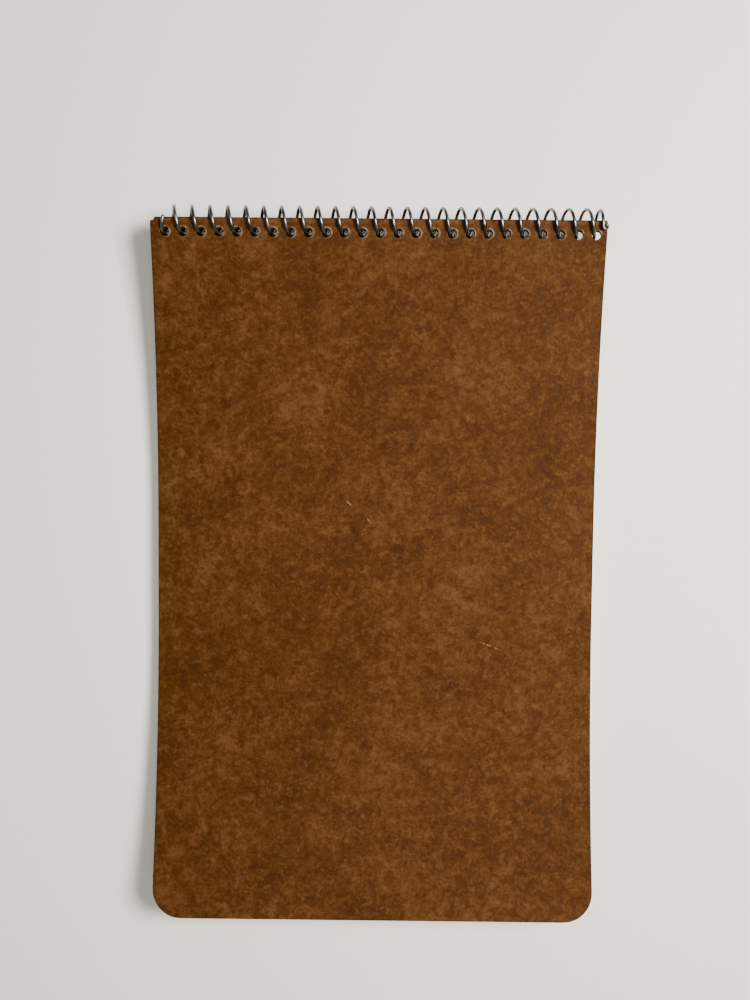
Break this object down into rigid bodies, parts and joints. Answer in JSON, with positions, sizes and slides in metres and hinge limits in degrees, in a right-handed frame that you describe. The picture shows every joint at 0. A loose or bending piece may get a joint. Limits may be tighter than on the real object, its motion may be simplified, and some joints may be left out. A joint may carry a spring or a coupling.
{
  "type": "pocket notebook",
  "caption": "Top-bound pocket notebook: pressboard covers and a block of punched paper leaves held by a spiral wire, gently bowed, opening upwards.",
  "frame": {"origin": "middle of the bounding box, on the surface the back cover rests on", "axes": "+X across the notebook to the reader's right, +Y along it towards the spiral wire, +Z out of the front cover"},
  "size_m": [0.127, 0.2043, 0.0172],
  "materials": {
    "front_pressboard": "matt calendered pressboard with mottled fibres",
    "back_pressboard": "matt calendered pressboard with mottled fibres",
    "paper": "uncoated writing paper with faint rules",
    "spiral_steel": "drawn steel wire, satin"
  },
  "bodies": {
    "pad": {"back_cover": "back_pressboard", "sheets_26_to_30": "paper", "sheets_31_to_35": "paper", "sheets_36_to_40": "paper", "sheets_41_to_45": "paper", "sheets_46_to_50": "paper"},
    "upper_leaves": {"sheets_01_to_05": "paper", "sheets_06_to_10": "paper", "sheets_11_to_15": "paper", "sheets_16_to_20": "paper", "sheets_21_to_25": "paper"},
    "front": {"front_cover": "front_pressboard", "wire_coil": "spiral_steel"}
  },
  "joints": [
    {"name": "leaves_turn", "type": "hinge", "parent": "pad", "child": "upper_leaves", "pos_m": [0, 0.09787, 0.01292], "axis": [-1, 0, 0], "range_deg": [0, 25]},
    {"name": "cover_turn", "type": "hinge", "parent": "upper_leaves", "child": "front", "pos_m": [0, 0.09787, 0.01292], "axis": [-1, 0, 0], "range_deg": [0, 75]}
  ]
}
